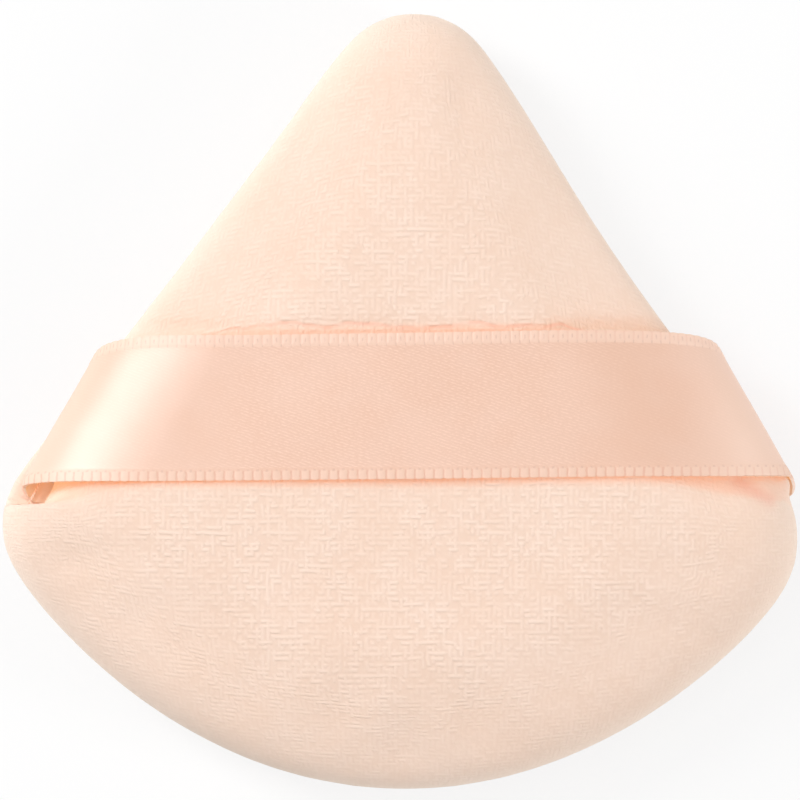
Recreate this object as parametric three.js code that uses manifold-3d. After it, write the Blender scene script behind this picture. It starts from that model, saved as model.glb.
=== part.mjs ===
// A triangular velour powder puff with a satin finger strap.
// It lies on its back panel: +Z is up through the thickness, +Y points at the apex,
// and the origin is under the middle of the outline, on the surface the puff rests on.
// All sizes are in millimetres.
import * as THREE from "three";
import { mergeVertices } from "three/addons/utils/BufferGeometryUtils.js";
import Module from "manifold-3d";

const wasm = await Module();
wasm.setup();

// Outline of the puff, seen from above: three round corners, two sides that pull in a little,
// and a base whose middle is bowed more than its two flanks.
const apexRadius = 7.5;
const leftRadius = 7.4;
const rightRadius = 8.8;
const apexToLeftX = 28.8;
const apexToLeftY = 37.4;
const apexToRightX = 25;
const apexToRightY = 38.65;
const leftHollow = 0.28;
const rightHollow = 0.73;
const baseDepth = 22.6;
const cornerReach = 1.4;
const flankFlattening = 9;
const apexSteps = 7;
const cornerSteps = 6;
const leftSideSteps = 6;
const rightSideSteps = 3;
const flankSteps = 3;
const baseSteps = 7;

// Heights: the seam runs round the side, a little below half of the thickness.
const seamHeight = 5.6;
const frontShoulder = 11.9;
const frontCrown = 0.9;
const frontRimWidth = 6.5;
const backRimWidth = 7.5;

// Velour panels, sewn face to face and turned, so that each has an allowance folded inside.
const coverThickness = 1;
const beadHeight = 1.3;
const beadDepth = 1;
const allowanceWidth = 3.6;

// Foam core, cut a little under the size of the turned cover.
const foamGap = 0.3;

// Satin strap: a ribbon across the front, folded over both sides and caught in the seam.
const strapWidth = 12.7;
const strapThickness = 0.3;
const selvedgeWidth = 1.1;
const selvedgeRise = 0.05;
const strapLift = 0.3;
const strapMiddleX = 0.9;
const strapMiddleY = -0.6;
const strapBandLength = 35;
const curlRadius = 1.5;
const tuckLength = 8;
const slotGap = 0.25;
const reliefDepth = 2.4;
const pressFade = 3.2;
const leftFoldX = -29.25;
const leftFoldAngle = 60.1;
const leftSlip = 1.7;
const rightFoldX = 30.74;
const rightFoldAngle = 60.4;
const rightSlip = 0.8;
const bendSteps = 9;
const curlSteps = 6;

// Sewing: a lockstitch all round but for the turning gap, a running stitch that closes the gap,
// and a backtack over each end of the strap.
const threadDiameter = 0.24;
const threadGap = 0.06;
const stitchPitch = 4;
const stitchInset = 2.1;
const legSpread = 0.2;
const needleHoleRadius = 0.9;
const needleHoleSides = 3;
const threadSpread = 0.17;
const tailLength = 1.5;
const holeOverrun = 0.5;
const turningGap = 30;
const backtackInset = 3.5;
const backtackPitch = 2.4;
const threadSides = 4;

const velour = { color: 0xf9dcc8, roughness: 0.95, metalness: 0 };
const satin = { color: 0xf8d2bc, roughness: 0.35, metalness: 0 };
const foam = { color: 0xfdf3e6, roughness: 0.9, metalness: 0 };
const thread = { color: 0xf7cfb8, roughness: 0.6, metalness: 0 };

// Where two circles cross, on the left of the way from the first centre to the second.
function crossing(centreA, radiusA, centreB, radiusB) {
  const span = centreB.clone().sub(centreA);
  const distance = span.length();
  const along = (distance ** 2 + radiusA ** 2 - radiusB ** 2) / (2 * distance);
  const across = Math.sqrt(radiusA ** 2 - along ** 2);
  const way = span.divideScalar(distance);
  return new THREE.Vector2(-way.y, way.x)
    .multiplyScalar(across)
    .addScaledVector(way, along)
    .add(centreA);
}

// Points of an arc with their outward normals; the last point belongs to the next arc.
function arc(centre, radius, from, to, steps, outward) {
  return Array.from({ length: steps }, (_, i) => {
    const angle = from + ((to - from) * i) / steps;
    const way = new THREE.Vector2(Math.cos(angle), Math.sin(angle));
    return {
      point: way.clone().multiplyScalar(radius).add(centre),
      normal: way.multiplyScalar(outward),
    };
  });
}

// The angle at which one point is seen from another, taken up or down by whole turns next to a guide.
function heading(from, to, guide) {
  const angle = to.clone().sub(from).angle();
  return angle + 2 * Math.PI * Math.round((guide - angle) / (2 * Math.PI));
}

// The radius of a side that pulls in by a hollow between two corners.
function sideRadius(centreA, centreB, hollow) {
  return centreA.distanceToSquared(centreB) / (8 * hollow);
}

// The radius of the base's middle arc, from its depth below the centres of the two corners.
function baseArcRadius(left, right) {
  const half = left.distanceTo(right) / 2;
  const drawn = (leftRadius + rightRadius) / 2 - cornerReach;
  return (half ** 2 + baseDepth ** 2 - drawn ** 2) / (2 * (baseDepth - drawn));
}

// The whole outline, counter-clockwise from the lower end of the right corner, centred on its own box.
function traceOutline() {
  const apex = new THREE.Vector2(0, 0);
  const left = new THREE.Vector2(-apexToLeftX, -apexToLeftY);
  const right = new THREE.Vector2(apexToRightX, -apexToRightY);
  const baseRadius = baseArcRadius(left, right);
  const reached = baseRadius + cornerReach;
  const base = crossing(left, reached - leftRadius, right, reached - rightRadius);
  const leftSide = sideRadius(apex, left, leftHollow);
  const rightSide = sideRadius(apex, right, rightHollow);
  const rightCentre = crossing(apex, rightSide + apexRadius, right, rightSide + rightRadius);
  const leftCentre = crossing(left, leftSide + leftRadius, apex, leftSide + apexRadius);
  const flankRadius = baseRadius + flankFlattening;
  const leftFlank = crossing(left, flankRadius - leftRadius, base, flankFlattening);
  const rightFlank = crossing(base, flankFlattening, right, flankRadius - rightRadius);
  const quarter = Math.PI / 2;
  const rightEnd = heading(rightFlank, right, -quarter / 2);
  const rightOut = heading(right, rightCentre, quarter / 3);
  const apexRight = heading(apex, rightCentre, quarter / 3);
  const apexLeft = heading(apex, leftCentre, 2 * quarter - quarter / 3);
  const leftOut = heading(left, leftCentre, 2 * quarter - quarter / 3);
  const leftEnd = heading(leftFlank, left, 2 * quarter + quarter / 2);
  const baseStart = heading(leftFlank, base, leftEnd);
  const baseEnd = heading(rightFlank, base, baseStart);
  const turn = 4 * quarter;
  const points = [
    ...arc(right, rightRadius, rightEnd, rightOut, cornerSteps, 1),
    ...arc(rightCentre, rightSide, rightOut + turn / 2, apexRight + turn / 2, rightSideSteps, -1),
    ...arc(apex, apexRadius, apexRight, apexLeft, apexSteps, 1),
    ...arc(leftCentre, leftSide, apexLeft - turn / 2, leftOut - turn / 2, leftSideSteps, -1),
    ...arc(left, leftRadius, leftOut, leftEnd, cornerSteps, 1),
    ...arc(leftFlank, flankRadius, leftEnd, baseStart, flankSteps, 1),
    ...arc(base, baseRadius, baseStart, baseEnd, baseSteps, 1),
    ...arc(rightFlank, flankRadius, baseEnd, rightEnd + turn, flankSteps, 1),
  ];
  const box = new THREE.Box2().setFromPoints(points.map((p) => p.point));
  const middle = box.getCenter(new THREE.Vector2());
  points.forEach((p) => p.point.sub(middle));
  return points;
}

// A fold of the strap: a slanted line on the plan, with the directions along it and out of the puff.
function makeFold(side, foldX, foldAngle, slip) {
  const slant = THREE.MathUtils.degToRad(foldAngle);
  const along = new THREE.Vector2(-side * Math.cos(slant), Math.sin(slant));
  const out = new THREE.Vector2(side * Math.sin(slant), Math.cos(slant));
  const lowEdge = strapMiddleY - strapWidth / 2 - slip * along.y;
  return { side, origin: new THREE.Vector2(foldX, strapMiddleY), along, out, slip, lowEdge };
}

const folds = [
  makeFold(-1, leftFoldX, leftFoldAngle, leftSlip),
  makeFold(1, rightFoldX, rightFoldAngle, rightSlip),
];

// How far the strap presses the front panel in, where a round corner would reach past its fold.
function strapPress(point) {
  const depths = folds.map(({ origin, out, lowEdge }) => {
    const beyond = point.clone().sub(origin).dot(out) + strapThickness / 2 + slotGap;
    const fade = THREE.MathUtils.smoothstep(point.y, lowEdge - pressFade, lowEdge);
    return Math.max(0, beyond) * fade;
  });
  return Math.max(...depths);
}

const outline = traceOutline().map((p) => ({ ...p, press: strapPress(p.point) }));

// The threads lie on the allowance, and next to them the panel can only give way so far.
const threadTop = seamHeight + coverThickness + 2 * threadGap + threadDiameter;
const pressRoom = stitchInset - coverThickness - 2 * threadGap - threadSpread - threadDiameter / 2;

// A ring of the outline, drawn in by an inset and then shrunk towards the middle, at a height.
// Above the seam it also gives way to the strap, less and less towards the middle.
function ring({ inset, height, shrink = 1 }) {
  const level = THREE.MathUtils.clamp((height - seamHeight) / beadHeight, 0, 1);
  const share = level * Math.max(0, 1 - inset / frontRimWidth);
  const most = height > threadTop ? Infinity : pressRoom;
  return outline.map(({ point, normal, press }) => {
    const give = Math.min(share * press, most);
    const p = point.clone().addScaledVector(normal, -inset - give);
    p.multiplyScalar(shrink);
    return new THREE.Vector3(p.x, p.y, height);
  });
}

// A closed skin through rings of equal count. Its ends are fans, or the cap's faces where one is given.
function loft(rings, cap) {
  const count = rings[0].length;
  const points = rings.flat();
  const faces = [];
  for (let r = 0; r + 1 < rings.length; r++) {
    for (let i = 0; i < count; i++) {
      const a = r * count + i;
      const b = r * count + ((i + 1) % count);
      faces.push(a, a + count, b, b, a + count, b + count);
    }
  }
  [rings[0], rings.at(-1)].forEach((edge, end) => {
    const first = end * (rings.length - 1) * count;
    if (cap) {
      cap.forEach((face) => faces.push(...(end ? face.toReversed() : face).map((i) => first + i)));
      return;
    }
    const middle = edge.reduce((sum, p) => sum.add(p), new THREE.Vector3());
    points.push(middle.divideScalar(count));
    for (let i = 0; i < count; i++) {
      const a = first + i;
      const b = first + ((i + 1) % count);
      faces.push(...(end ? [b, a, points.length - 1] : [a, b, points.length - 1]));
    }
  });
  return new THREE.BufferGeometry().setFromPoints(points).setIndex(faces);
}

// Points closer than this share of the thread's diameter are one point.
const weldShare = 5e-4;

// A three.js geometry as a manifold-3d solid, and back.
function solid(geometry) {
  const bare = geometry.clone();
  bare.deleteAttribute("normal");
  bare.deleteAttribute("uv");
  const merged = mergeVertices(bare, weldShare * threadDiameter);
  const made = new wasm.Manifold(
    new wasm.Mesh({
      numProp: 3,
      vertProperties: new Float32Array(merged.attributes.position.array),
      triVerts: new Uint32Array(merged.index.array),
    }),
  );
  return made;
}

function geometryOf(made) {
  const mesh = made.getMesh();
  return new THREE.BufferGeometry()
    .setAttribute("position", new THREE.BufferAttribute(new Float32Array(mesh.vertProperties), 3))
    .setIndex(new THREE.BufferAttribute(new Uint32Array(mesh.triVerts), 1));
}

const quarterShares = [0, 0.22, 0.44, 0.66, 0.84, 1];
const innerShares = [0, 0.4, 0.76, 1];
const beadShares = [0.5, 1];
const crownShares = [0.55];

// One velour panel: domed or flat face, rounded rim, bead at the seam and the allowance folded inside.
// `up` is 1 for the front panel and -1 for the back one.
function coverRings(up, faceHeight, crown, rimWidth) {
  const beadLevel = seamHeight + up * beadHeight;
  const rise = faceHeight - beadLevel;
  const innerRise = rise - up * coverThickness;
  const innerWidth = rimWidth - coverThickness;
  const quarter = (share) => (share * Math.PI) / 2;
  const crownAt = (shrink) => crown * (1 - shrink ** 2);
  const allowanceEnd = beadDepth + allowanceWidth;
  const allowanceFace = seamHeight + up * coverThickness;
  const profile = [
    ...crownShares.map((shrink) => ({
      inset: rimWidth,
      shrink,
      height: faceHeight + crownAt(shrink),
    })),
    ...[...quarterShares].reverse().map((share) => ({
      inset: rimWidth * (1 - Math.cos(quarter(share))),
      height: beadLevel + rise * Math.sin(quarter(share)),
    })),
    ...beadShares.map((share) => ({
      inset: beadDepth * (1 - Math.cos(quarter(share))),
      height: beadLevel - up * beadHeight * Math.sin(quarter(share)),
    })),
    { inset: allowanceEnd, height: seamHeight },
    { inset: allowanceEnd, height: allowanceFace },
    { inset: coverThickness + threadGap, height: allowanceFace },
    ...innerShares.map((share) => ({
      inset: rimWidth - innerWidth * Math.cos(quarter(share)),
      height: beadLevel + innerRise * Math.sin(quarter(share)),
    })),
    ...[...crownShares].reverse().map((shrink) => ({
      inset: rimWidth,
      shrink,
      height: faceHeight - up * coverThickness + crownAt(shrink),
    })),
  ];
  const rings = profile.map(ring);
  return up > 0 ? rings : rings.reverse();
}

// The foam fills both panels and is notched round the edge for the folded allowances.
function foamRings() {
  const notchDepth = beadDepth + allowanceWidth + foamGap;
  const notchHalf = coverThickness + threadDiameter + 2 * foamGap;
  const half = (up, faceHeight, crown, rimWidth) => {
    const beadLevel = seamHeight + up * beadHeight;
    const skin = coverThickness + foamGap;
    const rise = faceHeight - up * skin - beadLevel;
    const notchShare = Math.asin((notchHalf - beadHeight) / Math.abs(rise)) / (Math.PI / 2);
    const edge = (share) => {
      const angle = ((notchShare + (1 - notchShare) * share) * Math.PI) / 2;
      return {
        inset: rimWidth - (rimWidth - skin) * Math.cos(angle),
        height: beadLevel + rise * Math.sin(angle),
      };
    };
    return [
      { inset: notchDepth, height: seamHeight + up * notchHalf },
      ...quarterShares.map(edge),
      ...[...crownShares].reverse().map((shrink) => ({
        inset: rimWidth,
        shrink,
        height: beadLevel + rise + crown * (1 - shrink ** 2),
      })),
    ];
  };
  const front = half(1, frontShoulder, frontCrown, frontRimWidth);
  const back = half(-1, 0, 0, backRimWidth);
  return [...front.reverse(), ...back].map(ring);
}

const strapHeight = frontShoulder + frontCrown + strapLift + strapThickness / 2;

// Across the ribbon: a flat back, and a face that is a touch thicker along each woven edge.
// `grow` widens it on every side and `relief` only adds to the face.
function strapSection(grow, relief = 0) {
  const half = strapWidth / 2 + grow;
  const inner = strapWidth / 2 - selvedgeWidth;
  const back = -strapThickness / 2 - grow;
  const face = strapThickness / 2 + grow + relief;
  const rim = face + selvedgeRise;
  return [
    [-half, back],
    [half, back],
    [half, rim],
    [inner, rim],
    [inner, face],
    [-inner, face],
    [-inner, rim],
    [-half, rim],
  ];
}

// The faces that close a cut across the ribbon, the same for every section of it.
const strapCap = THREE.ShapeUtils.triangulateShape(
  strapSection(0).map(([t, lift]) => new THREE.Vector2(t, lift)),
  [],
);

const strapBandHalf = strapBandLength / 2;

function strapBand() {
  const ends = [strapMiddleX + strapBandHalf, strapMiddleX - strapBandHalf];
  return loft(
    ends.map((x) =>
      strapSection(0).map(([t, lift]) => new THREE.Vector3(x, strapMiddleY + t, strapHeight + lift)),
    ),
    strapCap,
  );
}

// One end of the strap. It bends down along its fold, curls under and runs into the seam.
// With `grow` and `relief` it is the cutter that clears its way through the panels.
function strapEnd({ side, origin, along, out, slip }, grow, relief) {
  const section = strapSection(grow, relief);
  const foldLevel = seamHeight + curlRadius;
  const bendRadius = strapHeight - foldLevel;

  // A point so far out from the fold, at a height, and at a place t across the ribbon.
  const place = (distance, level, t, slipped) => {
    const way = (t - distance * out.y) / along.y - slipped;
    const p = origin.clone().addScaledVector(out, distance).addScaledVector(along, way);
    return new THREE.Vector3(p.x, p.y, level);
  };
  const bent = (radius, angle, slipped) =>
    section.map(([t, lift]) => {
      const reach = radius + lift;
      const distance = reach * Math.sin(angle) - radius;
      return place(distance, foldLevel + reach * Math.cos(angle), t, slipped);
    });
  const quarter = Math.PI / 2;
  const slipAt = (angle) => (slip * (angle - Math.sin(angle))) / (quarter - 1);
  const inner = strapMiddleX + side * (strapBandHalf - grow);
  const sections = [
    section.map(([t, lift]) => new THREE.Vector3(inner, strapMiddleY + t, strapHeight + lift)),
  ];
  for (let i = 0; i <= bendSteps; i++) {
    const angle = (i / bendSteps) * quarter;
    sections.push(bent(bendRadius, angle, slipAt(angle)));
  }
  for (let i = 1; i <= curlSteps; i++) {
    sections.push(bent(curlRadius, quarter + (i / curlSteps) * quarter, slip));
  }
  const tuckEnd = -curlRadius - tuckLength;
  sections.push(section.map(([t, lift]) => place(tuckEnd, seamHeight - lift, t, slip)));
  return solid(loft(side > 0 ? sections.reverse() : sections, strapCap));
}

// The line of a seam: the outline drawn in by an inset, measured along its length from the apex.
function seamLine(inset) {
  const points = outline.map(({ point, normal }) => point.clone().addScaledVector(normal, -inset));
  const apex = points.reduce((best, p, i) => (p.y > points[best].y ? i : best), 0);
  const turned = [...points.slice(apex), ...points.slice(0, apex), points[apex]];
  const marks = [0];
  for (let i = 1; i < turned.length; i++) {
    marks.push(marks[i - 1] + turned[i].distanceTo(turned[i - 1]));
  }
  const length = marks.at(-1);
  const at = (distance) => {
    const i = Math.max(1, marks.findIndex((mark) => mark >= distance));
    const share = (distance - marks[i - 1]) / (marks[i] - marks[i - 1]);
    const way = turned[i].clone().sub(turned[i - 1]).normalize();
    return {
      point: turned[i - 1].clone().lerp(turned[i], share),
      way,
      normal: new THREE.Vector2(way.y, -way.x),
    };
  };
  return { length, at };
}

// A thread through the points of a path, mitred at each corner. Every point carries its sideways direction.
function threadAlong(path) {
  const radius = threadDiameter / 2;
  const sections = path.map(({ point, side }, i) => {
    const before = (path[i - 1] ? point.clone().sub(path[i - 1].point) : null)?.normalize();
    const after = (path[i + 1] ? path[i + 1].point.clone().sub(point) : null)?.normalize();
    const way = new THREE.Vector3()
      .add(before ?? after)
      .add(after ?? before)
      .normalize();
    const mitre = 1 / way.dot(after ?? before);
    const up = new THREE.Vector3().crossVectors(side, way).multiplyScalar(mitre);
    return Array.from({ length: threadSides }, (_, k) => {
      const angle = ((k + 0.5) / threadSides) * 2 * Math.PI;
      return point
        .clone()
        .addScaledVector(side, radius * Math.cos(angle))
        .addScaledVector(up, radius * Math.sin(angle));
    });
  });
  return loft(sections);
}

const runLevel = coverThickness + threadGap + threadDiameter / 2;
const passLevel = threadDiameter / 2 + threadGap;

// A place by a needle hole: so far along its row, so far to the outside, so far above the seam.
function stitchPoint(line, hole, step, offset, rise) {
  const { point, way, normal } = line.at(hole);
  const p = point.clone().addScaledVector(way, step).addScaledVector(normal, offset);
  return {
    point: new THREE.Vector3(p.x, p.y, seamHeight + rise),
    side: new THREE.Vector3(normal.x, normal.y, 0),
  };
}

// One thread of a lockstitch: it lies on its own side of the seam and dips into each needle hole.
function lockThread(line, holes, up) {
  const offset = up * threadSpread;
  const run = up * runLevel;
  const dip = -up * passLevel;
  const tail = legSpread + tailLength;
  const path = holes.flatMap((hole) => [
    stitchPoint(line, hole, -legSpread, offset, run),
    stitchPoint(line, hole, -legSpread, offset, dip),
    stitchPoint(line, hole, legSpread, offset, dip),
    stitchPoint(line, hole, legSpread, offset, run),
  ]);
  return threadAlong([
    stitchPoint(line, holes[0], -tail, offset, run),
    ...path,
    stitchPoint(line, holes.at(-1), tail, offset, run),
  ]);
}

// A running stitch: one thread that goes through every hole, above and below by turns.
function runningThread(line, holes) {
  const level = (i) => (i % 2 ? -runLevel : runLevel);
  const path = holes.flatMap((hole, i) => [
    stitchPoint(line, hole, 0, 0, level(i)),
    stitchPoint(line, hole, 0, 0, level(i + 1)),
  ]);
  return threadAlong([
    stitchPoint(line, holes[0], -tailLength, 0, level(0)),
    ...path,
    stitchPoint(line, holes.at(-1), tailLength, 0, level(holes.length)),
  ]);
}

// The three-sided holes that the needle opens through every layer of the seam.
function needleHoles(line, holes) {
  const depth = 2 * (coverThickness + holeOverrun);
  const prisms = holes.map((hole) => {
    const { point, way } = line.at(hole);
    const radius = needleHoleRadius;
    const prism = new THREE.CylinderGeometry(radius, radius, depth, needleHoleSides);
    prism.rotateX(-Math.PI / 2);
    prism.rotateZ(way.angle());
    prism.translate(point.x, point.y, seamHeight);
    return solid(prism);
  });
  return wasm.Manifold.union(prisms);
}

// The main row: holes at an even pitch all round, but for a little more or less to come out even.
const mainLine = seamLine(stitchInset);
const stitchCount = Math.round(mainLine.length / stitchPitch);
const mainHoles = Array.from(
  { length: stitchCount },
  (_, i) => ((i + 0.5) * mainLine.length) / stitchCount,
);

// The turning gap lies in the middle of the base, opposite the apex.
function gapMiddle() {
  const samples = mainHoles.map((hole) => ({ hole, y: mainLine.at(hole).point.y }));
  return samples.reduce((low, s) => (s.y < low.y ? s : low)).hole;
}

const gapCentre = gapMiddle();
const inGap = (hole) => Math.abs(hole - gapCentre) < turningGap / 2;
const closingHoles = mainHoles.filter(inGap);
const lockHoles = [
  ...mainHoles.filter((hole) => hole > gapCentre && !inGap(hole)),
  ...mainHoles.filter((hole) => hole < gapCentre && !inGap(hole)).map((hole) => hole + mainLine.length),
];

// The lockstitch starts at one end of the gap and runs over the apex to the other end.
const wrappedLine = {
  at: (distance) => mainLine.at(distance % mainLine.length),
};

// A backtack follows the allowance across one end of the strap.
const backtackLine = seamLine(backtackInset);

function backtackHoles({ side, slip, along }) {
  const half = strapWidth / 2 - selvedgeWidth;
  const low = strapMiddleY - slip * along.y - half;
  const high = strapMiddleY - slip * along.y + half;
  const count = Math.ceil(backtackLine.length / backtackPitch);
  const holes = Array.from({ length: count }, (_, i) => (i * backtackLine.length) / count);
  return holes.filter((hole) => {
    const { point } = backtackLine.at(hole);
    return point.x * side > 0 && point.y > low && point.y < high;
  });
}

const [leftTack, rightTack] = folds.map(backtackHoles);

const holes = wasm.Manifold.union([
  needleHoles(mainLine, mainHoles),
  needleHoles(backtackLine, [...leftTack, ...rightTack]),
]);

// What lies inside the cut edge of the allowances, at the level of the seam.
function insideOfAllowance() {
  const inset = beadDepth + allowanceWidth;
  const reach = coverThickness + holeOverrun;
  return solid(
    loft([
      ring({ inset, height: seamHeight + reach }),
      ring({ inset, height: seamHeight - reach }),
    ]),
  );
}

// The panels are cut for the strap, the front one all the way out from the strap's back.
const cover = (rings, relief) =>
  geometryOf(
    folds
      .map((fold) => strapEnd(fold, slotGap, relief))
      .reduce((rest, cutter) => rest.subtract(cutter), solid(loft(rings)).subtract(holes)),
  );
const trimmed = (fold) =>
  geometryOf(strapEnd(fold, 0, 0).subtract(insideOfAllowance()).subtract(holes));

const group = new THREE.Group();
group.name = "powder_puff";

function add(name, geometry, finish) {
  const mesh = new THREE.Mesh(geometry, new THREE.MeshStandardMaterial(finish));
  mesh.name = name;
  group.add(mesh);
}

const frontRings = coverRings(1, frontShoulder, frontCrown, frontRimWidth);
const backRings = coverRings(-1, 0, 0, backRimWidth);
add("front_cover", cover(frontRings, reliefDepth), velour);
add("back_cover", cover(backRings, 0), velour);
add("foam_core", loft(foamRings()), foam);
add("strap_band", strapBand(), satin);
add("strap_end_left", trimmed(folds[0]), satin);
add("strap_end_right", trimmed(folds[1]), satin);
add("seam_needle_thread", lockThread(wrappedLine, lockHoles, 1), thread);
add("seam_bobbin_thread", lockThread(wrappedLine, lockHoles, -1), thread);
add("closing_thread", runningThread(mainLine, closingHoles), thread);
add("backtack_left", runningThread(backtackLine, leftTack), thread);
add("backtack_right", runningThread(backtackLine, rightTack), thread);

export default group;
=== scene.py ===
# %% [markdown]
# # A velour powder puff with a satin finger strap
#
# The object is a soft triangular puff: two velour panels sewn face to face, turned and filled
# with a foam core, and a half-inch satin ribbon that crosses the front and is caught in the seam.
# The measured parts come from the CAD frame. Here they get their soft shape and finish.

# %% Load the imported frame
import math

import bmesh
import bpy
import numpy as np
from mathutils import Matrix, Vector, noise


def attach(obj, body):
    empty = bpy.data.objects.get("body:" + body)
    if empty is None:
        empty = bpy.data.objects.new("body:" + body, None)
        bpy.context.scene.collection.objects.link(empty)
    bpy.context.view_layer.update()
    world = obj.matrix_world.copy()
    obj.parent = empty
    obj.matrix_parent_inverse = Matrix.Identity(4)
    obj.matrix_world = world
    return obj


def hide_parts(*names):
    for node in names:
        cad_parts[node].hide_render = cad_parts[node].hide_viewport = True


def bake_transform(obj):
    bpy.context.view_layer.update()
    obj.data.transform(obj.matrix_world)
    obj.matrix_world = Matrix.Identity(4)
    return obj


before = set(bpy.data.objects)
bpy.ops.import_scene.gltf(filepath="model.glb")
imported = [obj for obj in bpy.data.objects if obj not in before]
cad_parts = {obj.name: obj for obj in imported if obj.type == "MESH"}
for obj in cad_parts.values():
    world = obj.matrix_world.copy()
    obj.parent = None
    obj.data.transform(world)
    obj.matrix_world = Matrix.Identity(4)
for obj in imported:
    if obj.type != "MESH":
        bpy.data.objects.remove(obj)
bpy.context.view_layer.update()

mm = 0.001
print("CAD nodes:", ", ".join(sorted(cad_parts)))

# %% [markdown]
# ## Small helpers
#
# Each operator acts on what is selected, and a script has to say so itself. One helper picks a
# single piece, one adds a modifier and applies it, and two read and write the points of a mesh
# all at once, which is quick for tens of thousands.

# %% Helpers for picking, editing and moving
def pick(piece):
    """Makes one piece the only selected one, and the active one."""
    bpy.ops.object.select_all(action="DESELECT")
    piece.select_set(True)
    bpy.context.view_layer.objects.active = piece


def link(name, mesh):
    """Puts a mesh in the scene as a piece of its own."""
    piece = bpy.data.objects.new(name, mesh)
    bpy.context.scene.collection.objects.link(piece)
    return piece


def places(piece):
    """The points of a piece, one row each."""
    found = np.empty(len(piece.data.vertices) * 3, np.float32)
    piece.data.vertices.foreach_get("co", found)
    return found.reshape(-1, 3).astype(float)


def move_to(piece, points):
    """Puts the points of a piece somewhere else."""
    piece.data.vertices.foreach_set("co", np.asarray(points, np.float32).ravel())
    piece.data.update()


def normals(piece):
    """The outward direction at each point of a piece."""
    found = np.empty(len(piece.data.vertices) * 3, np.float32)
    piece.data.vertex_normals.foreach_get("vector", found)
    return found.reshape(-1, 3).astype(float)


def apply_modifier(piece, kind, **settings):
    """Adds one modifier with its settings and makes its result the mesh."""
    pick(piece)
    modifier = piece.modifiers.new(kind.title(), kind)
    for name, value in settings.items():
        setattr(modifier, name, value)
    bpy.ops.object.modifier_apply(modifier=modifier.name)


def smoothstep(value, low, high):
    """0 below low, 1 above high, and a smooth ramp between."""
    t = np.clip((np.asarray(value, float) - low) / (high - low), 0, 1)
    return t * t * (3 - 2 * t)


# %% [markdown]
# ## The camera
#
# The puff is pictured from straight above and fills the frame from edge to edge. A long lens
# from a metre away keeps the outline true, as a product photographer would want it.

# %% Camera above the puff
lens_distance = 1.0
seam_height = 5.6 * mm
picture_width = 70.16 * mm
picture_shift = 0.0012
sensor = 36.0

camera_data = bpy.data.cameras.new("top_camera")
camera = bpy.data.objects.new("top_camera", camera_data)
bpy.context.scene.collection.objects.link(camera)
bpy.context.scene.camera = camera
camera.location = (0, 0, seam_height + lens_distance)
camera_data.sensor_width = sensor
camera_data.lens = sensor * lens_distance / picture_width
camera_data.clip_start = lens_distance / 20
camera_data.clip_end = lens_distance * 10
camera_data.shift_y = picture_shift
print(f"Lens {camera_data.lens:.0f} mm at {lens_distance} m")

# %% [markdown]
# ## The outline, taken from the CAD panel
#
# The back panel is widest where its bead begins, a little below the seam. The ring of edges at
# that level is the outline of the whole puff. It has a few dozen corners, so a smooth closed
# curve is drawn through them and cut into many short, equal steps.

# %% Smooth outline
bead_height = 1.3 * mm
bead_depth = 0.9 * mm
outline_steps = 260
level_gap = 0.02 * mm
curve_parts = 24
batch = 4000


def level_ring(node, level):
    """The longest closed line of mesh edges that lies at one level of a CAD node."""
    mesh = bmesh.new()
    mesh.from_mesh(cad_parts[node].data)
    bmesh.ops.remove_doubles(mesh, verts=mesh.verts, dist=level_gap / 10)
    flat = [e for e in mesh.edges if all(abs(v.co.z - level) < level_gap for v in e.verts)]
    beside = {}
    for edge in flat:
        a, b = edge.verts
        beside.setdefault(a, []).append(b)
        beside.setdefault(b, []).append(a)
    rings = []
    while beside:
        ring = [next(iter(beside))]
        while True:
            here = beside.pop(ring[-1])
            onward = [v for v in here if v in beside]
            if not onward:
                break
            ring.append(onward[0])
        rings.append(np.array([v.co[:2] for v in ring]))
    mesh.free()
    return max(rings, key=lambda r: np.linalg.norm(np.roll(r, -1, 0) - r, axis=1).sum())


def smooth_closed(corners, steps):
    """A closed curve through all corners with an even bend, as points at equal steps."""
    gaps = np.linalg.norm(np.roll(corners, -1, 0) - corners, axis=1)
    count = len(corners)
    before = np.roll(gaps, 1)
    matrix = np.zeros((count, count))
    for i in range(count):
        matrix[i, i - 1] = gaps[i]
        matrix[i, i] = 2 * (gaps[i] + before[i])
        matrix[i, (i + 1) % count] = before[i]
    ahead = (np.roll(corners, -1, 0) - corners) / gaps[:, None]
    behind = np.roll(ahead, 1, 0)
    slopes = np.linalg.solve(matrix, 3 * (gaps[:, None] * behind + before[:, None] * ahead))
    share = np.linspace(0, 1, curve_parts, endpoint=False)[:, None]
    dense = []
    for i in range(count):
        a, b = corners[i], corners[(i + 1) % count]
        m, n = slopes[i] * gaps[i], slopes[(i + 1) % count] * gaps[i]
        s2, s3 = share**2, share**3
        dense.append((2 * s3 - 3 * s2 + 1) * a + (s3 - 2 * s2 + share) * m
                     + (3 * s2 - 2 * s3) * b + (s3 - s2) * n)
    dense = np.concatenate(dense)
    closed = np.vstack([dense, dense[:1]])
    marks = np.concatenate([[0], np.cumsum(np.linalg.norm(np.diff(closed, axis=0), axis=1))])
    wanted = np.linspace(0, marks[-1], steps, endpoint=False)
    return np.stack([np.interp(wanted, marks, closed[:, k]) for k in (0, 1)], axis=1)


corners = level_ring("back_cover", seam_height - bead_height)
if np.cross(corners, np.roll(corners, -1, 0)).sum() < 0:
    corners = corners[::-1]
outline = smooth_closed(corners, outline_steps)
ways = np.roll(outline, -1, 0) - np.roll(outline, 1, 0)
outline_normals = np.stack([ways[:, 1], -ways[:, 0]], axis=1)
outline_normals /= np.linalg.norm(outline_normals, axis=1)[:, None]
print(f"Outline: {len(corners)} corners, {outline_steps} steps of "
      f"{np.linalg.norm(outline[1] - outline[0]) / mm:.2f} mm")


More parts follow.
